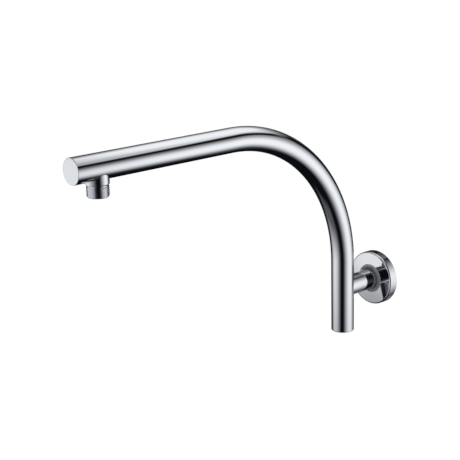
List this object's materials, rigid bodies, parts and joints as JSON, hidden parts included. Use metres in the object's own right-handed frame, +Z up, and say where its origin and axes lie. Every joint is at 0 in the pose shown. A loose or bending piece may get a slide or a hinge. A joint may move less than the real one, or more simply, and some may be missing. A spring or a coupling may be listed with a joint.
{
  "type": "shower arm",
  "caption": "High-rise shower arm: bent chrome tube with closed ends, a wall stub under a sliding round flange, and a threaded outlet hanging below the free end.",
  "frame": {"origin": "inlet axis where it meets the wall face, at the back of the round flange", "axes": "+X into the wall along the inlet axis, +Z up, the arm reaches along -X"},
  "size_m": [0.415, 0.06, 0.2495],
  "materials": {
    "chrome_tube": "mirror polished chrome plate",
    "chrome_turned": "turned and chrome plated",
    "chrome_flange": "mirror polished chrome plate",
    "grey_rubber": "moulded, matte"
  },
  "bodies": {
    "arm": {"arm_tube": "chrome_tube", "end_cap": "chrome_tube", "foot_cap": "chrome_tube", "outlet_nipple": "chrome_turned", "inlet_stub": "chrome_turned"},
    "flange": {"wall_flange": "chrome_flange", "flange_seal": "grey_rubber"}
  },
  "joints": [
    {"name": "flange_slide", "type": "slide", "parent": "arm", "child": "flange", "axis": [-1, 0, 0], "range_m": [0, 0.03]}
  ]
}
